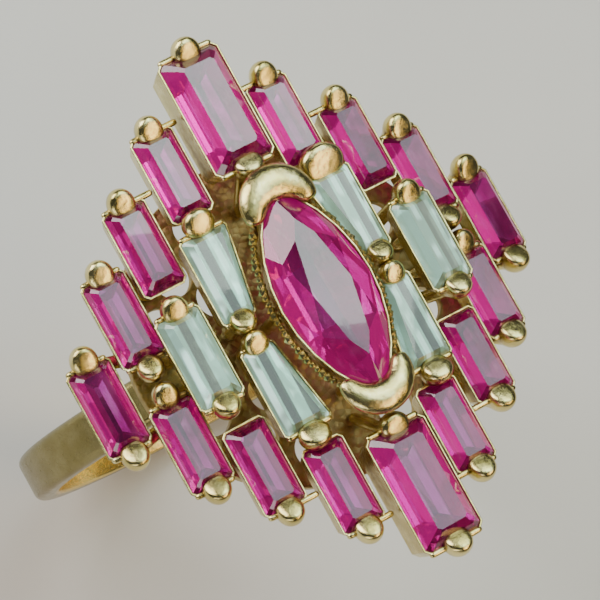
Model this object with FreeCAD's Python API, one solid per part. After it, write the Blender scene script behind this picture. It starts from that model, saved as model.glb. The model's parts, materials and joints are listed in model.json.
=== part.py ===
import FreeCAD, Part
import math
import os

# Cocktail ring: a stepped lozenge cluster of baguettes round a raised marquise, on a plain hoop.
# Millimetres. The origin is the centre of the finger hole, the finger runs along Y, and Z points
# out through the head. Every stone keeps its long axis along Y. Columns of stones step down the
# dome from the middle to the two sides, and the head is the same left to right and end to end.

V = FreeCAD.Vector

# Hoop
FINGER_RADIUS = 8.9
BAND_THICKNESS = 1.05
BAND_WIDTH = 2.1
BAND_EDGE_ROUND = 0.35

# Gallery plate, which stands on the hoop and carries the legs of every setting
PLATE_HALF_X = 7.6
PLATE_HALF_Y = 7.2
PLATE_THICKNESS = 0.5
AZURE_RADIUS = 0.85
SHOULDER_REACH = 6.0
SHOULDER_START = 1.2
SHOULDER_TOE = 40.0
SHOULDER_HOLLOW = 0.3

# The dome: how far the highest baguettes' girdles stand above the plate, and how the rest step down
HEAD_RISE = 3.45
MARQUISE_RISE = 0.9
DIAMOND_DROP = 0.35
RUBY_DROPS = (0.0, 0.7, 1.03, 1.52, 2.15)

# Columns of rubies from the middle out: outward lean, and the clear gaps between their boxes
RUBY_LEAN = (0.0, 2.0, 4.5, 7.0, 9.0)
COLUMN_GAPS = (0.33, 0.42, 0.05, 0.08)

# Diamonds inside the rubies: lean, and the clear gaps from their boxes to their neighbours
TAPER_LEAN = 2.0
STRAIGHT_LEAN = 4.0
TAPER_TO_RUBY = 0.07
STRAIGHT_TO_TAPER = 0.48

# Along the finger: clear lengths between the stones of a column, which their claws share
TAPER_GAP = 0.68
FIRST_COLUMN_GAP = 0.845
SECOND_COLUMN_GAP = 1.175
THIRD_COLUMN_GAP = 1.005
END_RUBY_GAP = 0.65

# Stones: size at the girdle, height above it and depth below it
SMALL_RUBY = (1.82, 3.75)
LARGE_RUBY = (2.72, 5.2)
STRAIGHT_DIAMOND = (1.9, 4.0)
TAPER_LENGTH = 3.8
TAPER_WIDE = 2.1
TAPER_NARROW = 1.4
GIRDLE = 0.08
CROWN_SHARE = 0.26
PAVILION_SHARE = 0.5
CORNER_SHARE = 0.16
MARQUISE_HALF_WIDTH = 2.1
MARQUISE_HALF_LENGTH = 4.75
MARQUISE_CROWN = 0.75
MARQUISE_PAVILION = 1.6
MARQUISE_SIDES = 10

# Settings
STONE_GAP = 0.015
WALL = 0.1
RIM = 0.1
BOX_DEPTH = 1.05
END_BOX_DEPTH = 1.7
SEAT = 0.1
COLLET_DEPTH = 1.0
COLLET_TAPER = 0.25
CLAW_HALF_WIDTH = 0.54
CLAW_ROOT = -0.35
CLAW_TOP = 0.5
CLAW_SOFTNESS = 0.7
LEG_RADIUS = 0.32
LEG_LEAN = 0.035
PIECE_GAP = 0.02

# Horn claws over the marquise's two points
HORN_RADIUS = 0.5
HORN_BEND = 1.3
HORN_SPREAD = 172.0
HORN_LIFT = 0.14
HORN_REACH = 0.15

# Derived sizes
HOOP_RADIUS = FINGER_RADIUS + BAND_THICKNESS
PLATE_BOTTOM = HOOP_RADIUS
PLATE_TOP = PLATE_BOTTOM + PLATE_THICKNESS
FACE_LEVEL = PLATE_TOP + HEAD_RISE
MARQUISE_LEVEL = FACE_LEVEL + MARQUISE_RISE
DIAMOND_LEVEL = FACE_LEVEL - DIAMOND_DROP
SKIN = STONE_GAP + WALL
FIRST_X = LARGE_RUBY[0] / 2 + 2 * SKIN + COLUMN_GAPS[0] + SMALL_RUBY[0] / 2
COLUMN_STEP = SMALL_RUBY[0] + 2 * SKIN
SECOND_X = FIRST_X + COLUMN_STEP + COLUMN_GAPS[1]
THIRD_X = SECOND_X + COLUMN_STEP + COLUMN_GAPS[2]
FOURTH_X = THIRD_X + COLUMN_STEP + COLUMN_GAPS[3]
RUBY_X = (0.0, FIRST_X, SECOND_X, THIRD_X, FOURTH_X)
TAPER_X = SECOND_X - SMALL_RUBY[0] / 2 - 2 * SKIN - TAPER_TO_RUBY - TAPER_WIDE / 2
STRAIGHT_X = TAPER_X + TAPER_WIDE / 2 + 2 * SKIN + STRAIGHT_TO_TAPER + STRAIGHT_DIAMOND[0] / 2
TAPER_Y = TAPER_LENGTH / 2 + TAPER_GAP
FIRST_Y = TAPER_Y + TAPER_LENGTH / 2 + FIRST_COLUMN_GAP + SMALL_RUBY[1] / 2
SECOND_Y = STRAIGHT_DIAMOND[1] / 2 + SECOND_COLUMN_GAP + SMALL_RUBY[1] / 2
THIRD_Y = SMALL_RUBY[1] / 2 + THIRD_COLUMN_GAP
HORN_TIP = MARQUISE_HALF_LENGTH + WALL + HORN_REACH + HORN_RADIUS
END_Y = HORN_TIP + END_RUBY_GAP + LARGE_RUBY[1] / 2
RUBY_Y = (END_Y, FIRST_Y, SECOND_Y, THIRD_Y, 0.0)
EDGE_DROP = math.sin(math.radians(STRAIGHT_LEAN)) * (STRAIGHT_DIAMOND[0] / 2 + WALL)
EDGE_RISE = math.sin(math.radians(RUBY_LEAN[3])) * (SMALL_RUBY[0] / 2 + WALL)
STRAIGHT_DEPTH = RUBY_DROPS[3] - DIAMOND_DROP - RIM - EDGE_DROP - EDGE_RISE - PIECE_GAP


# ---------------------------------------------------------------- outlines and faceted solids

def rectangle(width, length):
    """Corners of a plan outline, anticlockwise from +X +Y."""
    return [(width / 2, length / 2), (-width / 2, length / 2),
            (-width / 2, -length / 2), (width / 2, -length / 2)]


def tapered(side, end):
    """A straight outer edge at side * X, and an inner edge that widens towards end * Y."""
    outer = side * TAPER_WIDE / 2
    wide = outer - side * TAPER_WIDE
    narrow = outer - side * TAPER_NARROW
    half = TAPER_LENGTH / 2
    corners = [(outer, end * half), (wide, end * half), (narrow, -end * half), (outer, -end * half)]
    return corners if side * end > 0 else corners[::-1]


def marquise_outline():
    """Two arcs that meet in points on the Y axis, as short straight sides."""
    width = MARQUISE_HALF_WIDTH
    length = MARQUISE_HALF_LENGTH
    radius = (length ** 2 + width ** 2) / (2 * width)
    half_angle = math.asin(length / radius)
    turns = [half_angle * (2 * i / MARQUISE_SIDES - 1) for i in range(MARQUISE_SIDES)]
    right = [(radius * math.cos(t) - radius + width, radius * math.sin(t)) for t in turns]
    return right + [(-x, -y) for x, y in right]


def inset(outline, distance):
    """The outline with each side moved inwards, or outwards where distance is negative."""
    moved = []
    count = len(outline)
    for i in range(count):
        before, here, after = outline[i - 1], outline[i], outline[(i + 1) % count]
        first = unit(here[0] - before[0], here[1] - before[1])
        second = unit(after[0] - here[0], after[1] - here[1])
        turn = first[0] * second[1] - first[1] * second[0]
        if abs(turn) < 1e-9:
            shift = (-first[1] * distance, first[0] * distance)
        else:
            shift = ((second[0] - first[0]) * distance / turn, (second[1] - first[1]) * distance / turn)
        moved.append((here[0] + shift[0], here[1] + shift[1]))
    return moved


def unit(x, y):
    size = math.hypot(x, y)
    return (x / size, y / size)


def cut_corners(outline, size):
    """Each corner replaced by a short side of its own."""
    points = []
    count = len(outline)
    for i in range(count):
        before, here, after = outline[i - 1], outline[i], outline[(i + 1) % count]
        back = unit(before[0] - here[0], before[1] - here[1])
        on = unit(after[0] - here[0], after[1] - here[1])
        points.append((here[0] + back[0] * size, here[1] + back[1] * size))
        points.append((here[0] + on[0] * size, here[1] + on[1] * size))
    return points


def scaled(outline, share):
    return [(x * share, y * share) for x, y in outline]


def stack(levels):
    """A closed solid of flat facets between outlines of equal count, lowest first."""
    rings = [[V(x, y, z) for x, y in outline] for outline, z in levels]
    faces = [flat(rings[0][::-1]), flat(rings[-1])]
    for low, high in zip(rings, rings[1:]):
        count = len(low)
        for i in range(count):
            j = (i + 1) % count
            faces.append(flat([low[i], low[j], high[j], high[i]]))
    return Part.Solid(Part.Shell(faces))


def flat(points):
    return Part.Face(Part.makePolygon(points + points[:1]))


# ---------------------------------------------------------------- seats: where each stone sits

class Seat:
    """One baguette: its names, its place and lean, its plan outline, and the claws it carries."""

    def __init__(self, stone, setting, place, lean, outline, claws, depth=BOX_DEPTH):
        self.stone = stone
        self.setting = setting
        self.place = place
        self.lean = lean
        self.outline = outline
        self.claws = claws
        self.depth = depth
        self.half_width = min(abs(outline[0][0] - outline[1][0]), abs(outline[2][0] - outline[3][0])) / 2
        self.half_length = max(y for x, y in outline)
        self.crown = 2 * self.half_width * CROWN_SHARE
        self.pavilion = 2 * self.half_width * PAVILION_SHARE

    def put(self, shape):
        """The shape moved from the stone's own frame to its place on the dome."""
        shape.rotate(V(0, 0, 0), V(0, 1, 0), self.lean)
        shape.translate(self.place)
        return shape

    def point(self, x, y, z):
        lean = math.radians(self.lean)
        across = x * math.cos(lean) + z * math.sin(lean)
        up = z * math.cos(lean) - x * math.sin(lean)
        return self.place + V(across, y, up)


def claw(end, beyond, half_length, width_share=1.0):
    """A claw at one end: how far its bead's middle lies beyond the stone, and the bead's size."""
    return (end, beyond, half_length, width_share)


def ruby_seats():
    """Sixteen rubies, numbered round the head from the one at its +Y end, towards +X."""
    slots = [(0, 0, 1)]
    slots += [(column, 1, 1) for column in (1, 2, 3)]
    slots += [(4, 1, 0)]
    slots += [(column, 1, -1) for column in (3, 2, 1)]
    slots += [(0, 0, -1)]
    slots += [(column, -1, -1) for column in (1, 2, 3)]
    slots += [(4, -1, 0)]
    slots += [(column, -1, 1) for column in (3, 2, 1)]
    seats = []
    for number, (column, side, end) in enumerate(slots, start=1):
        size = SMALL_RUBY if column else LARGE_RUBY
        if column == 0:
            claws = [claw(end, 0.1, 0.62, 1.05), claw(-end, 0.0, 0.55, 1.15)]
        elif column in (1, 2):
            claws = [claw(end, 0.1, 0.62)]
        elif column == 3:
            claws = [claw(end, 0.1, 0.62), claw(-end, 0.32, 0.56, 0.95)]
        else:
            claws = [claw(1, 0.22, 0.62), claw(-1, 0.22, 0.62)]
        place = V(side * RUBY_X[column], end * RUBY_Y[column], FACE_LEVEL - RUBY_DROPS[column])
        names = ("ruby_%02d" % number, "ruby_setting_%02d" % number)
        depth = BOX_DEPTH if column else END_BOX_DEPTH
        seats.append(Seat(*names, place, side * RUBY_LEAN[column], rectangle(*size), claws, depth))
    return seats


def diamond_seats():
    """Four tapered diamonds beside the marquise and a straight one at the middle of each side."""
    seats = []
    slots = [(1, 1), (1, 0), (1, -1), (-1, -1), (-1, 0), (-1, 1)]
    for number, (side, end) in enumerate(slots, start=1):
        names = ("diamond_%d" % number, "diamond_setting_%d" % number)
        if end:
            place = V(side * TAPER_X, end * TAPER_Y, DIAMOND_LEVEL)
            claws = [claw(end, 0.36, 0.6, 1.2), claw(-end, 0.1, 0.56, 0.95)]
            seats.append(Seat(*names, place, side * TAPER_LEAN, tapered(side, end), claws))
        else:
            place = V(side * STRAIGHT_X, 0, DIAMOND_LEVEL)
            claws = [claw(1, 0.1, 0.6), claw(-1, 0.1, 0.6)]
            outline = rectangle(*STRAIGHT_DIAMOND)
            seats.append(Seat(*names, place, side * STRAIGHT_LEAN, outline, claws, STRAIGHT_DEPTH))
    return seats


# ---------------------------------------------------------------- baguettes and their settings

def step_cut(seat, grow=0.0):
    """A step-cut baguette with cut corners, its girdle's top at height 0. Grow adds a skin."""
    half = seat.half_width
    steps = [(0.92, -GIRDLE - seat.pavilion), (0.62, -GIRDLE - 0.66 * seat.pavilion),
             (0.28, -GIRDLE - 0.3 * seat.pavilion), (0.0, -GIRDLE), (0.0, 0.0),
             (0.2, 0.5 * seat.crown), (0.48, seat.crown)]
    levels = []
    for share, height in steps:
        corner = CORNER_SHARE * half * (1 - 0.8 * share)
        outline = cut_corners(inset(seat.outline, share * half * 0.98 - grow), corner)
        levels.append((outline, height))
    if grow:
        levels[0] = (levels[0][0], levels[0][1] - grow)
        levels[-1] = (levels[-1][0], levels[-1][1] + grow)
    return stack(levels)


def box_walls(seat):
    """A thin box round the girdle, with a ledge that the stone's underside rests over."""
    outer = inset(seat.outline, -STONE_GAP - WALL)
    inner = inset(seat.outline, -STONE_GAP)
    throat = inset(seat.outline, SEAT)
    first_step = 0.28 * 0.98 * seat.half_width / (0.3 * seat.pavilion)
    ledge = -GIRDLE - (SEAT + STONE_GAP) / first_step
    walls = stack([(outer, -seat.depth), (outer, RIM - GIRDLE)])
    walls = walls.cut(stack([(inner, ledge), (inner, 2 * RIM)]))
    return walls.cut(stack([(throat, -2 * seat.depth), (throat, 2 * RIM)]))


def bead(half_width, half_length):
    """A round-ended claw head with a softened top, standing from CLAW_ROOT up to CLAW_TOP."""
    radius = min(half_width, half_length)
    x = half_width - radius
    y = half_length - radius
    if x > y:
        corners = [V(-x, -radius, CLAW_ROOT), V(x, -radius, CLAW_ROOT), V(x, radius, CLAW_ROOT),
                   V(-x, radius, CLAW_ROOT)]
        caps = [V(x + radius, 0, CLAW_ROOT), V(-x - radius, 0, CLAW_ROOT)]
    else:
        corners = [V(radius, -y, CLAW_ROOT), V(radius, y, CLAW_ROOT), V(-radius, y, CLAW_ROOT),
                   V(-radius, -y, CLAW_ROOT)]
        caps = [V(0, y + radius, CLAW_ROOT), V(0, -y - radius, CLAW_ROOT)]
    edges = [Part.Arc(corners[1], caps[0], corners[2]).toShape(),
             Part.Arc(corners[3], caps[1], corners[0]).toShape()]
    if max(x, y) > 0:
        edges.insert(1, Part.LineSegment(corners[2], corners[3]).toShape())
        edges.append(Part.LineSegment(corners[0], corners[1]).toShape())
    block = Part.Face(Part.Wire(edges)).extrude(V(0, 0, CLAW_TOP - CLAW_ROOT))
    rim = [edge for edge in block.Edges if edge.BoundBox.ZMin > CLAW_TOP - PIECE_GAP]
    return block.makeFillet(CLAW_SOFTNESS * radius, rim)


def leg(top, foot, radius):
    """A round leg from a setting down to the gallery plate's upper face."""
    run = foot - top
    below = run.normalize() * (2 * radius)
    long_leg = Part.makeCylinder(radius, (foot + below - top).Length, top, run)
    reach = 2 * PLATE_HALF_X
    floor = Part.makeBox(2 * reach, 2 * reach, reach, V(-reach, -reach, PLATE_TOP - reach))
    return long_leg.cut(floor)


def footing(point):
    """Where the leg under a claw meets the plate: the further out it starts, the more it leans in."""
    out = math.hypot(point.x, point.y)
    share = 1 - LEG_LEAN * out
    return V(point.x * share, point.y * share, PLATE_TOP)


def claws_and_legs(seat):
    """Each claw's bead, with the wire below it that runs down past the box to the plate."""
    pieces = []
    for end, beyond, half_length, width_share in seat.claws:
        middle = sum(x for x, y in seat.outline if y * end > 0) / 2
        along = end * (seat.half_length + beyond)
        head = bead(CLAW_HALF_WIDTH * width_share, half_length)
        head.translate(V(middle, along, 0))
        pieces.append(seat.put(head))
        wire = end * (seat.half_length + STONE_GAP + WALL)
        top = seat.point(middle, wire, -LEG_RADIUS)
        pieces.append(leg(top, footing(top), LEG_RADIUS))
    return pieces


def settings(seats):
    """Every box with its claws and legs, cut clear of all stones and of each other."""
    spaces = [seat.put(step_cut(seat, grow=STONE_GAP)) for seat in seats]
    walls = [seat.put(box_walls(seat)) for seat in seats]
    finished = []
    for i, seat in enumerate(seats):
        extras = claws_and_legs(seat)
        others = walls[:i] + walls[i + 1:] + finished
        trimmed = []
        for piece in extras:
            near = [other for other in others if piece.BoundBox.intersect(other.BoundBox)]
            trimmed.append(largest(piece.cut(near)) if near else piece)
        shape = walls[i].fuse(trimmed)
        near = [space for space in spaces if shape.BoundBox.intersect(space.BoundBox)]
        shape = largest(shape.cut(near))
        finished.append(shape)
    return finished


def largest(shape):
    """The main body of a cut shape, without the crumbs that a neighbour cut off it."""
    return max(shape.Solids, key=lambda solid: solid.Volume)


# ---------------------------------------------------------------- the marquise and its mount

def marquise(grow=0.0):
    outline = marquise_outline()
    steps = [(0.06, -GIRDLE - MARQUISE_PAVILION), (0.5, -GIRDLE - 0.62 * MARQUISE_PAVILION),
             (1.0, -GIRDLE), (1.0, 0.0), (0.8, 0.6 * MARQUISE_CROWN), (0.55, MARQUISE_CROWN)]
    levels = [(inset(scaled(outline, share), -grow), height) for share, height in steps]
    stone = stack(levels)
    stone.translate(V(0, 0, MARQUISE_LEVEL))
    return stone


def collet():
    """The marquise's thin bezel, which tapers downwards, on four legs."""
    outline = marquise_outline()
    outer = inset(outline, -STONE_GAP - WALL)
    inner = inset(outline, -STONE_GAP)
    shape = stack([(inset(outer, COLLET_TAPER), -COLLET_DEPTH), (outer, RIM - GIRDLE)])
    shape = shape.cut(stack([(inset(inner, COLLET_TAPER), -1.1 * COLLET_DEPTH), (inner, 2 * RIM)]))
    shape.translate(V(0, 0, MARQUISE_LEVEL))
    base = MARQUISE_LEVEL - COLLET_DEPTH / 2
    side = MARQUISE_HALF_WIDTH - COLLET_TAPER / 2
    end = MARQUISE_HALF_LENGTH - 0.9
    legs = [leg(V(x, y, base), V(0.8 * x, 0.95 * y, PLATE_TOP), LEG_RADIUS)
            for x, y in ((side, 0), (-side, 0), (0, end), (0, -end))]
    shape = shape.fuse(legs)
    return largest(shape.cut(marquise(grow=STONE_GAP)))


def horn(end, mount):
    """A heavy round claw bent round one point of the marquise and over its edge."""
    section = Part.makeCircle(HORN_RADIUS, V(HORN_BEND, 0, 0), V(0, 1, 0))
    shape = Part.Face(Part.Wire(section)).revolve(V(0, 0, 0), V(0, 0, 1), HORN_SPREAD)
    shape.rotate(V(0, 0, 0), V(0, 0, 1), 90 * end - HORN_SPREAD / 2)
    tip = MARQUISE_HALF_LENGTH + WALL + HORN_REACH
    shape.translate(V(0, end * (tip - HORN_BEND), MARQUISE_LEVEL + HORN_LIFT))
    space = marquise(grow=STONE_GAP)
    return largest(shape.cut([space, mount]))


# ---------------------------------------------------------------- hoop, shoulders and gallery

def hoop():
    """A plain band with softened edges."""
    inner = FINGER_RADIUS
    outer = HOOP_RADIUS
    half = BAND_WIDTH / 2
    band = Part.makeCylinder(outer, BAND_WIDTH, V(0, -half, 0), V(0, 1, 0))
    rims = [edge for edge in band.Edges if len(edge.Vertexes) == 1 and edge.Length > outer]
    band = band.makeFillet(min(BAND_EDGE_ROUND, 0.45 * BAND_THICKNESS), rims)
    return band.cut(Part.makeCylinder(inner, 2 * BAND_WIDTH, V(0, -BAND_WIDTH, 0), V(0, 1, 0)))


def shoulder(side):
    """The hollow-sided wedge that fills between the hoop and the plate on one side of the head."""
    half = BAND_WIDTH / 2 - BAND_EDGE_ROUND
    toe_angle = math.radians(SHOULDER_TOE)
    start = V(side * SHOULDER_START, -half, PLATE_BOTTOM)
    end = V(side * SHOULDER_REACH, -half, PLATE_BOTTOM)
    toe = V(side * HOOP_RADIUS * math.cos(toe_angle), -half, HOOP_RADIUS * math.sin(toe_angle))
    heart = V(side * SHOULDER_START, -half, toe.z)
    middle = (end + toe) * 0.5 - V(side, 0, 1).normalize() * SHOULDER_HOLLOW
    edges = [Part.LineSegment(start, end).toShape(), Part.Arc(end, middle, toe).toShape(),
             Part.LineSegment(toe, heart).toShape(), Part.LineSegment(heart, start).toShape()]
    wedge = Part.Face(Part.Wire(edges)).extrude(V(0, 2 * half, 0))
    core = Part.makeCylinder(HOOP_RADIUS, 4 * half, V(0, -2 * half, 0), V(0, 1, 0))
    return largest(wedge.cut(core))


def gallery_plate(seats):
    """An oval plate with a round azure under each stone that it reaches."""
    longer, shorter = max(PLATE_HALF_X, PLATE_HALF_Y), min(PLATE_HALF_X, PLATE_HALF_Y)
    oval = Part.Ellipse(V(0, 0, PLATE_BOTTOM), longer, shorter).toShape()
    if PLATE_HALF_Y > PLATE_HALF_X:
        oval.rotate(V(0, 0, 0), V(0, 0, 1), 90)
    plate = Part.Face(Part.Wire(oval)).extrude(V(0, 0, PLATE_THICKNESS))
    margin = AZURE_RADIUS + 2 * LEG_RADIUS
    azures = []
    for seat in seats:
        spot = footing(seat.place)
        inside = math.hypot(spot.x / (PLATE_HALF_X - margin), spot.y / (PLATE_HALF_Y - margin)) < 1
        if inside and abs(spot.y) > BAND_WIDTH / 2 + AZURE_RADIUS:
            base = V(spot.x, spot.y, PLATE_BOTTOM - PLATE_THICKNESS)
            azures.append(Part.makeCylinder(AZURE_RADIUS, 3 * PLATE_THICKNESS, base))
    return plate.cut(azures)


def without_seams(shape):
    """The shape with its coplanar faces joined, or as it was where they can't be."""
    try:
        return shape.removeSplitter()
    except Part.OCCError:
        return shape


def save(name, shape):
    shape = without_seams(shape) if len(shape.Solids) == 1 else shape
    shape.exportStep("parts/%s.step" % name)
    print("%-22s solids %d  volume %8.3f  valid %s" % (name, len(shape.Solids), shape.Volume, shape.isValid()))


def main():
    os.makedirs("parts", exist_ok=True)
    seats = ruby_seats() + diamond_seats()
    for seat in seats:
        save(seat.stone, seat.put(step_cut(seat)))
    for seat, shape in zip(seats, settings(seats)):
        save(seat.setting, shape)
    mount = collet()
    save("marquise_ruby", marquise())
    save("marquise_collet", mount)
    save("horn_claw_upper", horn(1, mount))
    save("horn_claw_lower", horn(-1, mount))
    save("hoop", hoop())
    save("shoulder_left", shoulder(-1))
    save("shoulder_right", shoulder(1))
    save("gallery_plate", gallery_plate(seats))


main()
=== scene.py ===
# %% [markdown]
# # A cluster cocktail ring
# The ring is a yellow gold hoop that carries a lozenge of baguette rubies and diamonds, set step by
# step down a dome round one raised marquise ruby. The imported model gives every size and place.
# Here each visible piece gets the shape and finish that a goldsmith would leave it with.

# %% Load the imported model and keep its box
import json
import math

import bmesh
import bpy
from mathutils import Matrix, Vector


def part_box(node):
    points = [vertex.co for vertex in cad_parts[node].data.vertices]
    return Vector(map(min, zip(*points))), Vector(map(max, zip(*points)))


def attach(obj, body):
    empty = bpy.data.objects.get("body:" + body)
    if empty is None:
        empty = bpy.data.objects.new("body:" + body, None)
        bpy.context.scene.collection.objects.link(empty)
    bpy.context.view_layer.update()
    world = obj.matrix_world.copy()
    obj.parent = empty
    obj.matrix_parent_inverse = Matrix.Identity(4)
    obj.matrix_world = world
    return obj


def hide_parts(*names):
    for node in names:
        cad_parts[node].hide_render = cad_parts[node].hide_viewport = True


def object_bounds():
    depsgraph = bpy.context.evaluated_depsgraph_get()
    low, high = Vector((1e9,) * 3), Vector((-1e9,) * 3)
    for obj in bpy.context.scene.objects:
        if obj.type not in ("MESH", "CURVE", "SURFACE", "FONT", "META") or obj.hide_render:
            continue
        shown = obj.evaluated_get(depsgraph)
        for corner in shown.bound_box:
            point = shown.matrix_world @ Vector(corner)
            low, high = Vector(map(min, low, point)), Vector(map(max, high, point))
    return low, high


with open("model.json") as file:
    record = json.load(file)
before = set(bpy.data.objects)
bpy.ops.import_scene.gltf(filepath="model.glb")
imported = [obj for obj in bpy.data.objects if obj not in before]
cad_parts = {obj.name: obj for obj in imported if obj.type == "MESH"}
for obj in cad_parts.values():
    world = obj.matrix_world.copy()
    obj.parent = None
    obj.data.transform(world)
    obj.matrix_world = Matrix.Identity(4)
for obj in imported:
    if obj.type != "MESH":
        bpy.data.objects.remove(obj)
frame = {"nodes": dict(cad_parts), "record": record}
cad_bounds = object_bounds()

MM = 0.001
print("nodes:", len(frame["nodes"]), "size:",
      [round((high - low) / MM, 2) for low, high in zip(*cad_bounds)], "mm")

# %% [markdown]
# ## Camera
# The ring is looked at almost straight down on its head, from a little to one side, with the camera
# rolled. A long lens from a hand's width away keeps the stones' sides nearly parallel, as a macro
# lens does. The view is built from three directions: towards the camera, its right and its up.

# %% Camera
VIEW_SIDE = math.radians(22.5)
VIEW_TILT = math.radians(4.6)
VIEW_ROLL = math.radians(29.05)
VIEW_DISTANCE = 137 * MM
LENS = 201.8
FACE_CENTRE = Vector((0, 0, 13.9 * MM))
AIM_LEFT = 0.80
AIM_DOWN = 0.17

towards = Vector((-math.sin(VIEW_SIDE), -math.sin(VIEW_TILT), 0))
towards.z = math.sqrt(1 - towards.length_squared)
level_up = (Vector((0, 1, 0)) - towards * towards.y).normalized()
level_right = level_up.cross(towards)
right = math.cos(VIEW_ROLL) * level_right - math.sin(VIEW_ROLL) * level_up
up = math.sin(VIEW_ROLL) * level_right + math.cos(VIEW_ROLL) * level_up
aim = FACE_CENTRE - right * AIM_LEFT * MM - up * AIM_DOWN * MM


def place_by_axes(thing, x_axis, y_axis, z_axis, origin):
    """Sets an object's place and turn from three directions."""
    turn = Matrix((x_axis, y_axis, z_axis)).transposed().to_4x4()
    thing.matrix_world = Matrix.Translation(origin) @ turn


camera_data = bpy.data.cameras.new("camera")
camera_data.lens = LENS
camera_data.sensor_width = 36
camera_data.clip_start = 0.01
camera = bpy.data.objects.new("camera", camera_data)
bpy.context.scene.collection.objects.link(camera)
place_by_axes(camera, right, up, towards, aim + towards * VIEW_DISTANCE)
bpy.context.scene.camera = camera
print("camera", [round(c / MM, 1) for c in camera.location], "mm")

# %% [markdown]
# ## Table and light
# Jewellery is shot on a pale table inside a light tent. Polished gold has no colour of its own to
# show: it shows the tent. So the tent has large soft panels with darker room between them, which
# gives the claws a bright side and a deep side. Area lamps are the panels, and a dim world is the
# room. One narrow strip is warm, and the panel that the flat tables of the stones reflect is cool.

# %% Floor
FLOOR_HALF = 400 * MM
FLOOR_GAP = 0.02 * MM
floor_shape = bmesh.new()
bmesh.ops.create_grid(floor_shape, x_segments=1, y_segments=1, size=FLOOR_HALF)
bmesh.ops.translate(floor_shape, verts=floor_shape.verts, vec=(0, 0, cad_bounds[0][2] - FLOOR_GAP))
floor_mesh = bpy.data.meshes.new("table_top")
floor_shape.to_mesh(floor_mesh)
floor_shape.free()
floor = bpy.data.objects.new("table_top", floor_mesh)
bpy.context.scene.collection.objects.link(floor)
print("table at", round(cad_bounds[0][2] / MM, 2), "mm")


# %% Softboxes and room
def softbox(name, direction, distance, size, power, colour):
    """A rectangular area lamp that looks at the head of the ring from a direction."""
    lamp = bpy.data.lights.new(name, "AREA")
    lamp.shape = "RECTANGLE"
    lamp.size, lamp.size_y = size
    lamp.energy = power
    lamp.color = colour
    thing = bpy.data.objects.new(name, lamp)
    bpy.context.scene.collection.objects.link(thing)
    back = direction.normalized()
    side = up.cross(back).normalized()
    place_by_axes(thing, side, back.cross(side), back, FACE_CENTRE + back * distance)
    return thing


def view_direction(across, above, nearer):
    """A direction given as seen from the camera: to its right, upwards and towards it."""
    return right * across + up * above + towards * nearer


# Each lamp's direction, distance and size in metres, watts and colour
softbox("key_panel", view_direction(-1.0, 0.9, 0.9), 0.20, (0.16, 0.12), 0.42, (1.0, 0.98, 0.95))
softbox("top_panel", view_direction(0.5, 1.0, 0.8), 0.22, (0.10, 0.16), 0.18, (0.86, 1.0, 0.90))
softbox("side_strip", view_direction(1.0, -0.25, 0.7), 0.20, (0.06, 0.16), 0.17, (1.0, 0.72, 0.38))
softbox("low_panel", view_direction(-0.3, -1.0, 0.8), 0.22, (0.14, 0.06), 0.10, (1.0, 0.97, 0.92))
mirrored_view = Vector((-towards.x, -towards.y, towards.z))
softbox("sky_panel", mirrored_view, 0.24, (0.17, 0.13), 0.20, (0.74, 0.93, 0.98))

ROOM_COLOUR = (0.50, 0.54, 0.60, 1)
ROOM_STRENGTH = 0.10
room = bpy.data.worlds.new("room")
room.use_nodes = True
background = room.node_tree.nodes["Background"]
background.inputs["Color"].default_value = ROOM_COLOUR
background.inputs["Strength"].default_value = ROOM_STRENGTH
bpy.context.scene.world = room

# %% [markdown]
# ## Writing finishes
# A finish is a graph of nodes. Written out one node at a time it hides its own idea, so two helpers
# let it be written as sums: a Wire is a socket that can be added, subtracted and multiplied, and a
# Finish adds any node from its type, its settings and its inputs.


# %% Wires and finishes
class Wire:
    """The output of a node, for use in sums."""

    def __init__(self, finish, socket):
        self.finish = finish
        self.socket = socket

    def sum(self, operation, first, second):
        return self.finish.add("ShaderNodeMath", {"operation": operation}, {0: first, 1: second})

    def __add__(self, other):
        return self.sum("ADD", self, other)

    def __radd__(self, other):
        return self.sum("ADD", other, self)

    def __sub__(self, other):
        return self.sum("SUBTRACT", self, other)

    def __rsub__(self, other):
        return self.sum("SUBTRACT", other, self)

    def __mul__(self, other):
        return self.sum("MULTIPLY", self, other)

    def __rmul__(self, other):
        return self.sum("MULTIPLY", other, self)

    def ramp(self, low, high, start=0.0, end=1.0):
        """Runs smoothly from start to end as the value goes from low to high."""
        settings = {"interpolation_type": "SMOOTHSTEP"}
        inputs = {"Value": self, "From Min": low, "From Max": high, "To Min": start, "To Max": end}
        return self.finish.add("ShaderNodeMapRange", settings, inputs)


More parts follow.
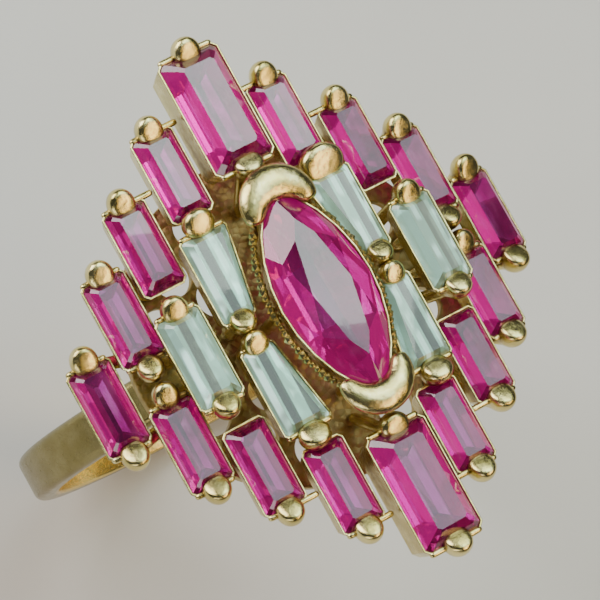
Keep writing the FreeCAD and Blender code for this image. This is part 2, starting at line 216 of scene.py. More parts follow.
class Finish:
    """A material whose one surface shader gets constants by name and links from sums."""

    def __init__(self, name, **constants):
        self.material = bpy.data.materials.new(name)
        self.material.use_nodes = True
        self.tree = self.material.node_tree
        self.shader = self.tree.nodes["Principled BSDF"]
        for key, value in constants.items():
            self.shader.inputs[key.replace("_", " ")].default_value = value

    def add(self, kind, settings=None, inputs=None, output=0):
        node = self.tree.nodes.new(kind)
        for key, value in (settings or {}).items():
            setattr(node, key, value)
        for key, value in (inputs or {}).items():
            self.feed(node.inputs[key], value)
        return Wire(self, node.outputs[output])

    def feed(self, socket, value):
        if isinstance(value, Wire):
            self.tree.links.new(value.socket, socket)
        else:
            socket.default_value = value

    def drive(self, **links):
        for key, value in links.items():
            self.feed(self.shader.inputs[key.replace("_", " ")], value)
        return self.material

    def place(self):
        return self.add("ShaderNodeTexCoord", output="Object")

    def noise(self, size, detail=2.0, vector=None, roughness=0.5):
        """Cloudy noise whose clouds are about size wide, in metres."""
        inputs = {"Vector": vector or self.place(), "Scale": 1 / size, "Detail": detail,
                  "Roughness": roughness}
        return self.add("ShaderNodeTexNoise", {}, inputs)

    def stretched(self, x, y, z):
        """Object coordinates scaled on each axis."""
        scaled = {0: self.place(), 1: (x, y, z)}
        return self.add("ShaderNodeVectorMath", {"operation": "MULTIPLY"}, scaled)

    def blend(self, share, first, second):
        """A colour between two colours."""
        colours = {0: share, 6: first, 7: second}
        return self.add("ShaderNodeMix", {"data_type": "RGBA", "blend_type": "MIX"}, colours, output=2)

    def grow(self, mask, least):
        """The mask raised so that it's nowhere below a least value."""
        return mask * (1 - least) + least

    def bump(self, height):
        """A normal that follows a height in metres."""
        return self.add("ShaderNodeBump", {}, {"Height": height, "Distance": 1.0, "Strength": 1.0})


print("ready to write finishes")

# %% [markdown]
# ## Gold
# Fourteen carat yellow gold is pale and slightly green in bright light and brown where pieces face
# each other closely. The claws are polished by hand, so they ripple softly at about half a
# millimetre, and years of wear leave fine scratches. Where Ambient Occlusion finds a narrow gap, the
# gold is darkened with painted shade mixed with some grime, and the plate under the stones is painted
# darker still as shade and keeps the grainy skin of its casting. The bore is rubbed by the finger,
# and its bright glow is a painted reflection of gold facing gold there. The outside is painted
# darker, as shade, to the deep colour that it has in a dark room, since a pale table would light it
# up. One radius, measured from the finger's axis, tells the two apart.


# %% Gold
FINGER_RADIUS = frame["record"]["mounts"][0]["dims"]["r_mm"]
# How far Ambient Occlusion looks for a gap to paint shade and grime into, and their brown colour
SHADE_AND_GRIME_REACH = 0.9 * MM
SHADE_AND_GRIME_COLOUR = (0.20, 0.10, 0.032, 1)
# A painted reflection colour for the bore, and a painted shade colour for the hoop's outside
BORE_REFLECTION_COLOUR = (0.93, 0.70, 0.24, 1)
OUTSIDE_SHADE_COLOUR = (0.13, 0.11, 0.045, 1)
GRAIN_SIZE = 0.34 * MM


def make_gold(name, polish, ripple, scratch, least_shade=0.0, grain=0.0, bore=0.0):
    """Gold from its polish, ripples, scratches, painted shade and grime, and grain, with a bore painted
    bright as a reflection.
    """
    gold = Finish(name, Metallic=1.0)
    clouds = gold.noise(0.9 * MM, 3.0)
    tone = gold.blend(clouds.ramp(0.35, 0.7), (0.62, 0.51, 0.18, 1), (0.86, 0.74, 0.34, 1))
    # Painted shade, mixed with some grime, turns the gold brown where Ambient Occlusion finds a narrow
    # gap
    cavity = gold.add("ShaderNodeAmbientOcclusion", {"samples": 6}, {"Distance": SHADE_AND_GRIME_REACH}, "AO")
    shade_and_grime = cavity.ramp(0.25, 0.8, 1.0, 0.0) * gold.noise(0.3 * MM, 4.0).ramp(0.25, 0.6, 0.55, 1.0)
    # The mask is raised to a least value, which lays that much painted shade over the whole piece
    colour = gold.blend(gold.grow(shade_and_grime, least_shade), tone, SHADE_AND_GRIME_COLOUR)
    if bore:
        # The bore is painted bright as a reflection of gold facing gold, and the outside is painted shade
        level = gold.stretched(1.0, 0.0, 1.0)
        radius = gold.add("ShaderNodeVectorMath", {"operation": "LENGTH"}, {0: level}, "Value")
        shaded_outside = gold.blend(0.72, colour, OUTSIDE_SHADE_COLOUR)
        colour = gold.blend(radius.ramp(bore, bore + 0.3 * MM), BORE_REFLECTION_COLOUR, shaded_outside)
    scratches = gold.noise(0.05 * MM, 3.0, gold.stretched(1.0, 7.0, 1.0)).ramp(0.45, 0.75)
    ripples = gold.noise(0.42 * MM, 1.5)
    cells = {"Vector": gold.place(), "Scale": 1 / GRAIN_SIZE}
    grains = gold.add("ShaderNodeTexVoronoi", {}, cells, "Distance")
    height = ripples * (ripple * MM) + scratches * (scratch * MM) - grains * (grain * MM)
    rough = gold.noise(0.25 * MM, 4.0).ramp(0.3, 0.75, polish, polish + 0.12) + shade_and_grime * 0.25
    return gold.drive(Base_Color=colour, Roughness=rough, Normal=gold.bump(height))


claw_gold = make_gold("polished_gold", polish=0.16, ripple=0.030, scratch=0.0012)
# The hoop has a little painted shade all over, a painted bright bore and a painted dark outside
hoop_gold = make_gold("worn_gold", polish=0.17, ripple=0.010, scratch=0.0020, least_shade=0.2,
                      bore=FINGER_RADIUS * MM)
# The plate under the stones is painted darker all over, as shade, besides its cast grain
inner_gold = make_gold("cast_gold", polish=0.38, ripple=0.030, scratch=0.0030, least_shade=0.55, grain=0.12)
print("gold finishes:", claw_gold.name, hoop_gold.name, inner_gold.name)

# %% [markdown]
# ## Ruby and diamond
# A ruby is see-through, but its depth of colour comes from light that bounces between its back
# facets, many times over. A few bounces in a render fall short of that, so part of it is painted.
# The long sides are magenta, each facet with a painted light of its own from the way it faces; tables
# are plum with pale mauve patches of painted reflection, ends are a darker plum as painted shade, and
# the long sides have a painted glow. Fine silk inside makes pale clouds.
#
# A diamond shows the tent in bands that run along the stone, some of them flashing. Waves drawn out
# along the stone are painted reflections of the bands, the flashes are a painted glow, and its aqua
# and olive tones are painted reflection too. The shader lets through and bends less light than a
# diamond would, because a true one looked milky in this light.


# %% Facets
FACET_STEP = 0.09


def facet_tilt(finish):
    """How far a facet tilts to the long sides and to the ends, from 0 to 1 each."""
    normal = finish.add("ShaderNodeTexCoord", output="Normal")
    side = finish.add("ShaderNodeSeparateXYZ", {}, {0: normal}, "X")
    end = finish.add("ShaderNodeSeparateXYZ", {}, {0: normal}, "Y")
    return (side * side).ramp(0.04, 0.25), (end * end).ramp(0.04, 0.25)


def painted_facet_light(finish):
    """A value of its own for each facet, from the way it faces, for painted light that differs by facet.
    """
    normal = finish.add("ShaderNodeTexCoord", output="Normal")
    # The shift keeps level and upright facets off the edges of the steps
    shift = {0: normal, 1: (0.037, 0.041, 0.043)}
    moved = finish.add("ShaderNodeVectorMath", {"operation": "ADD"}, shift)
    snap = {0: moved, 1: (FACET_STEP, FACET_STEP, FACET_STEP)}
    steps = finish.add("ShaderNodeVectorMath", {"operation": "SNAP"}, snap)
    return finish.add("ShaderNodeTexWhiteNoise", {"noise_dimensions": "3D"}, {"Vector": steps})


# %% Ruby
def make_ruby():
    ruby = Finish("cut_ruby", IOR=1.76, Transmission_Weight=0.8, Emission_Strength=0.18)
    side, end = facet_tilt(ruby)
    tone = painted_facet_light(ruby)
    # This noise lays pale mauve patches of painted reflection on the tables
    stones = ruby.noise(3.2 * MM, 0.0).ramp(0.3, 0.7)
    clouds = ruby.noise(0.9 * MM, 3.0)
    table = ruby.blend(clouds.ramp(0.3, 0.7), (0.09, 0.002, 0.04, 1), (0.26, 0.015, 0.16, 1))
    table = ruby.blend(stones * 0.6, table, (0.40, 0.06, 0.30, 1))
    # Each long-side facet gets a painted light of its own, from dark to bright magenta
    long_side = ruby.blend(tone.ramp(0.15, 0.85), (0.34, 0.001, 0.12, 1), (0.84, 0.010, 0.40, 1))
    colour = ruby.blend(side, table, long_side)
    # The ends are painted a dark plum, as painted shade
    colour = ruby.blend(end, colour, (0.14, 0.001, 0.05, 1))
    silk = ruby.noise(0.4 * MM, 1.5, ruby.stretched(1.0, 0.35, 1.0)).ramp(0.52, 0.8)
    colour = ruby.blend(silk * 0.25, colour, (0.70, 0.30, 0.58, 1))
    # The emission is a painted glow, strongest on the long sides
    painted_glow = ruby.blend(side, (0.03, 0.0, 0.015, 1), (0.62, 0.0, 0.26, 1))
    painted_glow = ruby.blend(end, painted_glow, (0.08, 0.0, 0.03, 1))
    return ruby.drive(Base_Color=colour, Roughness=silk * 0.04 + 0.015, Emission_Color=painted_glow)


ruby_finish = make_ruby()


# %% Diamond
BAND_WIDTH = 0.85 * MM
# How far apart a Wave Texture's bands are at a scale of 1
WAVE_PERIOD = 0.314


def make_diamond():
    diamond = Finish("cut_diamond", IOR=1.75, Transmission_Weight=0.45, Emission_Strength=1.0)
    side, end = facet_tilt(diamond)
    tone = painted_facet_light(diamond)
    # The waves are painted reflections of the tent, drawn out along the stone
    bands = {"Vector": diamond.stretched(1.0, 0.12, 1.0), "Scale": WAVE_PERIOD / BAND_WIDTH,
             "Distortion": 3.5, "Detail": 1.0, "Detail Scale": 0.6}
    reflection_streaks = diamond.add("ShaderNodeTexWave", {"bands_direction": "X"}, bands, "Fac")
    # Painted glints where the brightest bands meet the noise
    painted_flashes = reflection_streaks.ramp(0.72, 0.92) * diamond.noise(1.1 * MM, 1.0).ramp(0.42, 0.6)
    # These colours are all painted reflection: dark olive and aqua bands, aqua long sides, olive facets
    # and ends
    colour = diamond.blend(reflection_streaks.ramp(0.3, 0.5), (0.05, 0.06, 0.025, 1), (0.48, 0.95, 0.76, 1))
    colour = diamond.blend(side, colour, (0.60, 0.97, 0.86, 1))
    colour = diamond.blend(tone.ramp(0.55, 0.75) * 0.5, colour, (0.30, 0.34, 0.20, 1))
    colour = diamond.blend(end * 0.6, colour, (0.36, 0.38, 0.24, 1))
    # A painted glow where the glints fall, brighter on the long sides
    painted_glow = diamond.blend(diamond.grow(side, 0.5) * painted_flashes, (0.0, 0.0, 0.0, 1), (0.70, 1.0, 0.94, 1))
    rough = diamond.noise(0.3 * MM, 4.0).ramp(0.4, 0.8, 0.01, 0.05)
    return diamond.drive(Base_Color=colour, Roughness=rough, Emission_Color=painted_glow)


diamond_finish = make_diamond()
print("stone finishes:", ruby_finish.name, diamond_finish.name)


# %% Table
def make_table_finish():
    table = Finish("table_paper", Roughness=0.65)
    fibres = table.noise(0.4 * MM, 5.0)
    colour = table.blend(table.noise(9 * MM, 3.0), (0.70, 0.69, 0.67, 1), (0.76, 0.75, 0.73, 1))
    return table.drive(Base_Color=colour, Normal=table.bump(fibres * (0.01 * MM)))


floor.data.materials.append(make_table_finish())
print("table finish:", floor.data.materials[0].name)

# %% [markdown]
# ## Reading the stones
# Each setting is made to fit its stone, so the stones are measured first. The table is the highest
# flat face, and its tilt is the stone's lean. Turned level, the widest points of the stone are its
# girdle, and they give the outline that the setting follows. Shapes are worked out in millimetres,
# because a ring is tiny beside a metre, and are scaled down once when a piece is made.


# %% Girdles
# How near a corner lies to the stone's longest point, and to the girdle's height, to count as on it
GIRDLE_REACH = 0.01
GIRDLE_HEIGHT = 0.005


def merged_copy(name, flatness=1.0):
    """A node's mesh in millimetres, with its loose triangles joined into flat faces."""
    shape = bmesh.new()
    shape.from_mesh(frame["nodes"][name].data)
    bmesh.ops.scale(shape, vec=(1 / MM, 1 / MM, 1 / MM), verts=shape.verts)
    bmesh.ops.remove_doubles(shape, verts=shape.verts, dist=0.001)
    bmesh.ops.dissolve_limit(shape, angle_limit=math.radians(flatness), verts=shape.verts,
                             edges=shape.edges)
    shape.normal_update()
    return shape


def girdle_of(points):
    """The height of a stone's girdle, found where the stone is longest, and the points on it."""
    reach = max(point.y for point in points)
    height = max(point.z for point in points if point.y > reach - GIRDLE_REACH)
    return height, [point for point in points if abs(point.z - height) < GIRDLE_HEIGHT]


def in_turn(spots):
    """The spots of an outline in order round its middle, turning left."""
    return sorted(spots, key=lambda spot: math.atan2(spot[1], spot[0]))


# %% Measure every baguette
SIDE_LINE = 0.1


class Seat:
    """One baguette, measured: its turn and place, and its girdle outline in its own frame."""

    def __init__(self, name):
        self.name = name
        shape = merged_copy(name)
        table = max(shape.faces, key=lambda face: face.calc_center_median().z)
        self.lean = math.atan2(table.normal.x, table.normal.z)
        turn = Matrix.Rotation(self.lean, 4, "Y")
        local = [turn.inverted() @ vert.co for vert in shape.verts]
        shape.free()
        girdle, ring = girdle_of(local)
        x = [point.x for point in ring]
        y = [point.y for point in ring]
        middle = Vector(((min(x) + max(x)) / 2, (min(y) + max(y)) / 2, girdle))
        self.half_width = (max(x) - min(x)) / 2
        self.half_length = (max(y) - min(y)) / 2
        self.crown = max(point.z for point in local) - girdle
        self.outline = in_turn([(point.x - middle.x, point.y - middle.y) for point in ring])
        self.matrix = turn @ Matrix.Translation(middle)
        self.place = self.matrix.translation.copy()
        self.at_side = abs(self.place.y) < SIDE_LINE
        self.out = abs(self.place.x)

    def end_edge(self, end):
        """The side-to-side positions of the corners of one short end."""
        edge = [x for x, y in self.outline if y * end > self.half_length - 2 * GIRDLE_REACH]
        return min(edge), max(edge)

    def end_middle(self, end):
        return sum(self.end_edge(end)) / 2


ruby_seats = [Seat("ruby_%02d" % number) for number in range(1, 17)]
diamond_seats = [Seat("diamond_%d" % number) for number in range(1, 7)]
for seat in ruby_seats[:5] + diamond_seats[:2]:
    print(seat.name, "size %.2f x %.2f" % (2 * seat.half_width, 2 * seat.half_length),
          "crown %.2f lean %.1f" % (seat.crown, math.degrees(seat.lean)))

# %% [markdown]
# ## Tools for gold work
# Two shapes make most of the gold on the head: a wall that follows an outline, and a wire that is
# drawn through a row of sections and swells into a claw. Wires are kept as a coarse cage of eight
# sides and smoothed by a Subdivision Surface, which rounds them like melted gold.


# %% Walls and wires
def offset_outline(outline, distance):
    """The outline with every side moved outwards by a distance."""
    moved = []
    for i in range(len(outline)):
        before, here = Vector(outline[i - 1]), Vector(outline[i])
        after = Vector(outline[(i + 1) % len(outline)])
        first = (here - before).normalized()
        second = (after - here).normalized()
        out = Vector((first.y + second.y, -first.x - second.x)).normalized()
        moved.append(here + out * distance / math.sqrt(max(0.2, (1 + first.dot(second)) / 2)))
    return moved


def wall_shape(outline, gap, thickness, low, high, draft=0.0, soft=0.03):
    """A ring of wall round an outline from low to high, narrower below by its draft."""
    shape = bmesh.new()
    outer = offset_outline(outline, gap + thickness)
    face = shape.faces.new([shape.verts.new((x, y, high)) for x, y in outer])
    shape.normal_update()
    bmesh.ops.inset_region(shape, faces=[face], thickness=thickness, use_boundary=True,
                           use_even_offset=True)
    bmesh.ops.delete(shape, geom=[face], context="FACES_ONLY")
    grown = bmesh.ops.extrude_face_region(shape, geom=shape.faces[:])
    base = [item for item in grown["geom"] if isinstance(item, bmesh.types.BMVert)]
    half_x = max(x for x, y in outer)
    half_y = max(y for x, y in outer)
    bmesh.ops.scale(shape, vec=(1 - draft / half_x, 1 - draft / half_y, 1), verts=base)
    bmesh.ops.translate(shape, verts=base, vec=(0, 0, low - high))
    bmesh.ops.recalc_face_normals(shape, faces=shape.faces)
    rim = [edge for edge in shape.edges if all(vert.co.z > high - 0.001 for vert in edge.verts)
           and edge.calc_face_angle(0) > 0.5]
    bmesh.ops.bevel(shape, geom=rim, offset=soft, offset_type="OFFSET", affect="EDGES", segments=2,
                    profile=0.5, material=-1, clamp_overlap=True)
    return shape


def wire_shape(sections, sides=8):
    """A closed wire through sections, each a matrix that sets a unit circle's size and place."""
    shape = bmesh.new()
    bmesh.ops.create_circle(shape, cap_ends=True, segments=sides, radius=1.0, matrix=sections[0])
    shape.faces.ensure_lookup_table()
    tip = shape.faces[0]
    for before, after in zip(sections, sections[1:]):
        inner = [] if before is sections[0] else [tip]
        grown = bmesh.ops.extrude_face_region(shape, geom=[tip])["geom"]
        verts = [item for item in grown if isinstance(item, bmesh.types.BMVert)]
        bmesh.ops.transform(shape, matrix=after @ before.inverted(), verts=verts)
        tip = [item for item in grown if isinstance(item, bmesh.types.BMFace)][0]
        bmesh.ops.delete(shape, geom=inner, context="FACES_ONLY")
    bmesh.ops.recalc_face_normals(shape, faces=shape.faces)
    return shape


def section(centre, half_x, half_y):
    """A level section of a wire: its centre and half widths."""
    return Matrix.Translation(centre) @ Matrix.Diagonal((half_x, half_y, 1, 1))


def section_across(centre, side, up_axis, half_side, half_up):
    """A section that stands across a wire, set by the directions of its two half widths."""
    side = side.normalized()
    up_axis = up_axis.normalized()
    axes = Matrix((side * half_side, up_axis * half_up, side.cross(up_axis))).transposed()
    return Matrix.Translation(centre) @ axes.to_4x4()


# %% Joining and finishing
GOLD_SMOOTHING = 2


def add_shape(target, source, matrix=Matrix(), smoothing=0):
    """Adds a shape to another at a place, first smoothed by a Subdivision Surface if asked."""
    mesh = bpy.data.meshes.new("part")
    bmesh.ops.transform(source, matrix=matrix, verts=source.verts)
    source.to_mesh(mesh)
    source.free()
    if smoothing:
        thing = bpy.data.objects.new("part", mesh)
        bpy.context.scene.collection.objects.link(thing)
        modifier = thing.modifiers.new("smoothing", "SUBSURF")
        modifier.levels = modifier.render_levels = smoothing
        cage = mesh
        smoothed = thing.evaluated_get(bpy.context.evaluated_depsgraph_get())
        mesh = bpy.data.meshes.new_from_object(smoothed)
        bpy.data.objects.remove(thing)
        bpy.data.meshes.remove(cage)
    for face in mesh.polygons:
        face.use_smooth = bool(smoothing)
    target.from_mesh(mesh)
    bpy.data.meshes.remove(mesh)


def make_piece(name, shape, material, slot, *nodes):
    """Turns a shape in millimetres into a piece that stands for CAD nodes and rides with the ring."""
    bmesh.ops.scale(shape, vec=(MM, MM, MM), verts=shape.verts)
    mesh = bpy.data.meshes.new(name)
    shape.to_mesh(mesh)
    shape.free()
    mesh.materials.append(material)
    piece = bpy.data.objects.new(name, mesh)
    bpy.context.scene.collection.objects.link(piece)
    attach(piece, "root")
    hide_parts(*nodes)
    return piece


print("tools ready")

# %% [markdown]
# ## Settings
# A setting is a thin box of sheet gold with the stone dropped in, and round wires soldered to its
# short ends. Each wire stands up past the stone and is pushed over its end as a thumb shaped claw.
# A rounded lip runs along each clawed end, from which the claw grows, and in the two inner columns
# it runs on as a bridge towards the next box. Lower down the wires go on as legs to the gallery
# plate. Claws were set by hand where there was room, so how far they stand out, how long and how
# wide they are depends on the column, and the plan of claws says it in one place.

# %% Sizes of a setting
STONE_GAP = 0.015
WALL = 0.1
WALL_TOP = 0.03
BOX_DEPTH = 1.05
END_BOX_DEPTH = 1.7
BOX_DRAFT = 0.2
SHALLOW_BOX = 0.85
CLAW_HALF = 0.64
CLAW_STRETCH = 1.15
LEG_RADIUS = 0.32
LEG_LEAN = 0.035
LEG_SINK = 0.05
KNEE_HEIGHT = -0.8
LIP_RADIUS = 0.14
LIP_HEIGHT = -0.06
LIP_OVERHANG = 0.16
FIRST_BRIDGE = 0.42
SECOND_BRIDGE = 0.56
# Stones with a larger half width than this sit at the ends of the head, in deeper boxes
WIDE_STONE = 1.2
PLATE_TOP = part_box("gallery_plate")[1][2] / MM
# How far out from the middle line the columns of stones begin
FIRST_COLUMN = 2
SECOND_COLUMN = 4
THIRD_COLUMN = 6.5
# A claw from its neck up: how far out it stands, its height, its slope in degrees, and its size
CLAW_FORM = [(0.06, -0.42, 0, 0.78), (0.08, -0.08, 0, 1.0), (0.05, 0.2, 10, 1.06),
             (0.0, 0.44, 24, 0.96), (-0.03, 0.53, 27, 0.55)]
print("plate top at %.2f mm" % PLATE_TOP)


# %% Claws
def claw_plan(seat):
    """Each claw of a seat: which end, how far out its middle is, its half length and its width."""
    end = 1 if seat.place.y > 0 else -1
    if seat in diamond_seats:
        if seat.at_side:
            return [(1, 0.1, 0.6, 1.0), (-1, 0.1, 0.6, 1.0)]
        if seat.name == "diamond_1":
            return [(end, 0.36, 0.78, 1.75), (-end, 0.1, 0.56, 0.95)]
        return [(end, 0.36, 0.6, 1.2), (-end, 0.1, 0.56, 0.95)]
    if seat.out < FIRST_COLUMN:
        return [(end, 0.0, 0.62, 1.05), (-end, 0.0, 0.55, 1.15)]
    if seat.at_side:
        return [(1, 0.22, 0.62, 1.0), (-1, 0.22, 0.62, 1.0)]
    if seat.out > THIRD_COLUMN:
        return [(end, 0.1, 0.62, 1.0), (-end, 0.32, 0.56, 0.95)]
    return [(end, 0.1, 0.62, 1.0)]


def leg_sections(foot, top):
    """A round leg from its foot up to its top."""
    return [section(spot, LEG_RADIUS, LEG_RADIUS) for spot in (foot, foot.lerp(top, 0.5), top)]


def claw_sections(seat, end, beyond, half_length, width):
    """The wire from the plate up past the box and over the stone's end, in the stone's frame."""
    across = seat.end_middle(end)
    wall = end * (seat.half_length + STONE_GAP + WALL)
    head = end * (seat.half_length + beyond)
    half = CLAW_HALF * width
    half_length *= CLAW_STRETCH
    foot = seat.matrix @ Vector((across, wall, -LEG_RADIUS))
    share = 1 - LEG_LEAN * math.hypot(foot.x, foot.y)
    foot = seat.matrix.inverted() @ Vector((foot.x * share, foot.y * share, PLATE_TOP - LEG_SINK))
    rows = leg_sections(foot, Vector((across, wall, KNEE_HEIGHT)))
    side = Vector((1, 0, 0))
    for out, height, slope, size in CLAW_FORM:
        slope = math.radians(slope)
        along = Vector((0, math.cos(slope), end * math.sin(slope)))
        centre = Vector((across, head + end * out, height))
        rows.append(section_across(centre, side, along, half * size, half_length * size))
    return rows


def half_lip(edge, way, bridge):
    """Places and sizes along a lip, from near one corner of the box out past it and on as a bridge."""
    tip_size = 1.0 if bridge else 0.7
    return [(edge - way * 0.1, 1.1), (edge + way * 0.8 * bridge, 1.15),
            (edge + way * (LIP_OVERHANG + bridge), tip_size)]


def lip_sections(seat, end):
    """A rounded bar along one end of the box."""
    left, right_side = seat.end_edge(end)
    bridge = 0.0
    if seat in ruby_seats and FIRST_COLUMN < seat.out < THIRD_COLUMN:
        bridge = FIRST_BRIDGE if seat.out < SECOND_COLUMN else SECOND_BRIDGE
    left_bridge = bridge if seat.place.x > 0 else 0.0
    rows = half_lip(left, -1, left_bridge)[::-1]
    rows += [(seat.end_middle(end), 1.3)] + half_lip(right_side, 1, bridge - left_bridge)
    y = end * (seat.half_length + STONE_GAP + 0.6 * WALL)
    return [section_across(Vector((x, y, LIP_HEIGHT)), Vector((0, 1, 0)), Vector((0, 0, 1)),
                           LIP_RADIUS * size, LIP_RADIUS * size) for x, size in rows]


# %% Settings
for seat in ruby_seats + diamond_seats:
    body = bmesh.new()
    depth = BOX_DEPTH
    if seat.half_width > WIDE_STONE:
        depth = END_BOX_DEPTH
    if seat in diamond_seats and seat.at_side:
        depth = SHALLOW_BOX
    box = wall_shape(seat.outline, STONE_GAP, WALL, -depth, WALL_TOP, BOX_DRAFT)
    add_shape(body, box, seat.matrix)
    for claw in claw_plan(seat):
        add_shape(body, wire_shape(claw_sections(seat, *claw)), seat.matrix, GOLD_SMOOTHING)
        add_shape(body, wire_shape(lip_sections(seat, claw[0])), seat.matrix, GOLD_SMOOTHING)
    node = seat.name.replace("_", "_setting_")
    make_piece("basket_" + seat.name, body, claw_gold, "yellow_gold", node)
print("settings:", len(ruby_seats) + len(diamond_seats))

# %% [markdown]
# ## The marquise's mount
# The raised ruby sits in a thin tapered collet on four legs, with a row of small beads round it for
# the grainy edge that a graver leaves. Its two points are its weak places, so each is held by a heavy
# horn of gold, bent round the point like a crescent, thick in the middle and thinner at both ends.

# %% Marquise outline
marquise_box = [Vector(corner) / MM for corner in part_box("marquise_ruby")]
marquise_reach = marquise_box[1].y
shape = merged_copy("marquise_ruby")
marquise_level, marquise_ring = girdle_of([vert.co.copy() for vert in shape.verts])
shape.free()
marquise_outline = in_turn([(point.x, point.y) for point in marquise_ring])
print("marquise %.2f x %.2f" % (2 * marquise_box[1].x, 2 * marquise_reach),
      "girdle at %.2f" % marquise_level)

# %% Beads
BEAD_OUT = 0.3
BEAD_RADIUS = 0.19
BEAD_STEP = 0.27
BEAD_DEPTH = 0.4
BEAD_CHANGE = 0.22


def bead_spots(track):
    """Evenly spaced spots along a closed track, each with how far along it lies."""
    spots = []
    walked, next_bead = 0.0, 0.0
    for start, stop in zip(track, track[1:] + track[:1]):
        side_length = (stop - start).length
        while next_bead < walked + side_length:
            spots.append((start.lerp(stop, (next_bead - walked) / side_length), next_bead))
            next_bead += BEAD_STEP
        walked += side_length
    return spots


# %% Collet
COLLET_DEPTH = 1.0
COLLET_DRAFT = 0.25
COLLET_LEG_TOP = 0.5
body = bmesh.new()
add_shape(body, wall_shape(marquise_outline, STONE_GAP, WALL, -COLLET_DEPTH, WALL_TOP, COLLET_DRAFT),
          Matrix.Translation((0, 0, marquise_level)))
# Each leg starts just inside the collet and leans in on its way down to the plate
for x, y in ((1, 0), (-1, 0), (0, 1), (0, -1)):
    top = Vector((x * (marquise_box[1].x - 0.1), y * (marquise_reach - 0.9),
                  marquise_level - COLLET_LEG_TOP))
    foot = Vector((0.8 * top.x, 0.95 * top.y, PLATE_TOP - LEG_SINK))
    add_shape(body, wire_shape(leg_sections(foot, top)), smoothing=GOLD_SMOOTHING)
beads = bead_spots([Vector(spot) for spot in offset_outline(marquise_outline, BEAD_OUT)])
for spot, walked in beads:
    # The sine runs out of step with the beads, so no two neighbours are the same size
    size = BEAD_RADIUS * (1 + BEAD_CHANGE * math.sin(41 * walked))
    place = Matrix.Translation((spot.x, spot.y, marquise_level - BEAD_DEPTH))
    bmesh.ops.create_icosphere(body, subdivisions=1, radius=size, matrix=place)
print("beads:", len(beads))
make_piece("marquise_mount", body, claw_gold, "yellow_gold", "marquise_collet")

# %% Horns
HORN_BEND = 1.36
HORN_SPREAD = math.radians(188)
HORN_REACH = 0.25
HORN_LIFT = 0.16
HORN_HALF_HEIGHT = 0.52
HORN_STEPS = 8


def horn_sections(centre, end, half_side):
    """Sections round a bend, full in its middle and thinner towards its two ends."""
    rows = []
    for step in range(HORN_STEPS + 1):
        share = step / HORN_STEPS
        angle = math.radians(90) * end + HORN_SPREAD * (share - 0.5)
        out = Vector((math.cos(angle), math.sin(angle), 0))
        # Part of a sine's arch, with a power that keeps its middle full
        full = math.sin(math.pi * (0.08 + 0.84 * share)) ** 0.6
        rows.append(section_across(centre + out * (HORN_BEND - 0.05 * full), out, Vector((0, 0, 1)),
                                   half_side * full, HORN_HALF_HEIGHT * full))
    return rows


for name, end, half_side in (("horn_claw_upper", 1, 0.9), ("horn_claw_lower", -1, 0.8)):
    y = end * (marquise_reach + HORN_REACH - HORN_BEND)
    centre = Vector((0, y, marquise_level + HORN_LIFT))
    body = bmesh.new()
    add_shape(body, wire_shape(horn_sections(centre, end, half_side)), smoothing=GOLD_SMOOTHING)
    make_piece(name.replace("claw_", ""), body, claw_gold, "yellow_gold", name)
print("marquise mounted")

# %% [markdown]
# ## Hoop, shoulders and gallery
# The hoop is one rolled bar, so it is one profile spun once round the finger: flat inside and
# outside, with softened inner edges and well rounded outer ones. The shoulders and the plate are
# sawn from sheet and filed, so they take the model's own shape with every sharp edge softened.

# %% Hoop
SPIN_STEPS = 144
OUTER_EDGE = 0.38
INNER_EDGE = 0.12
hoop_box = [Vector(corner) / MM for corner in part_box("hoop")]
HOOP_RADIUS = hoop_box[1].x
HOOP_HALF = hoop_box[1].y
body = bmesh.new()
profile = [body.verts.new(spot) for spot in
           ((FINGER_RADIUS, -HOOP_HALF, 0), (HOOP_RADIUS, -HOOP_HALF, 0),
            (HOOP_RADIUS, HOOP_HALF, 0), (FINGER_RADIUS, HOOP_HALF, 0))]
body.faces.new(profile)
middle = (FINGER_RADIUS + HOOP_RADIUS) / 2
outer_corners = [vert for vert in profile if vert.co.x > middle]
bmesh.ops.bevel(body, geom=outer_corners, offset=OUTER_EDGE, offset_type="OFFSET", affect="VERTICES",
                segments=6, profile=0.5, material=-1)
inner_corners = [vert for vert in body.verts if vert.co.x < middle]
bmesh.ops.bevel(body, geom=inner_corners, offset=INNER_EDGE, offset_type="OFFSET", affect="VERTICES",
                segments=3, profile=0.5, material=-1)
bmesh.ops.delete(body, geom=body.faces[:], context="FACES_ONLY")
bmesh.ops.spin(body, geom=body.verts[:] + body.edges[:], cent=(0, 0, 0), axis=(0, 1, 0), dvec=(0, 0, 0),
               angle=math.tau, steps=SPIN_STEPS, use_merge=True, use_duplicate=False)
bmesh.ops.remove_doubles(body, verts=body.verts, dist=0.0001)
bmesh.ops.recalc_face_normals(body, faces=body.faces)
for face in body.faces:
    face.smooth = True
make_piece("finger_hoop", body, hoop_gold, "yellow_gold", "hoop")
print("hoop radius %.2f to %.2f" % (FINGER_RADIUS, HOOP_RADIUS))

# %% Shoulders and plate
FILED_EDGE = 0.06
FILED_ANGLE = math.radians(50)
for name in ("shoulder_left", "shoulder_right", "gallery_plate"):
    body = merged_copy(name, flatness=4.0)
    sharp = [edge for edge in body.edges if edge.is_manifold and edge.calc_face_angle(0) > FILED_ANGLE]
    bmesh.ops.bevel(body, geom=sharp, offset=FILED_EDGE, offset_type="OFFSET", affect="EDGES", segments=3,
                    profile=0.5, material=-1, clamp_overlap=True)
    bmesh.ops.triangulate(body, faces=body.faces)
    finish = inner_gold if name == "gallery_plate" else hoop_gold
    print(name, "edges filed:", len(sharp), "faces:", len(body.faces))
    make_piece("filed_" + name, body, finish, "yellow_gold", name)

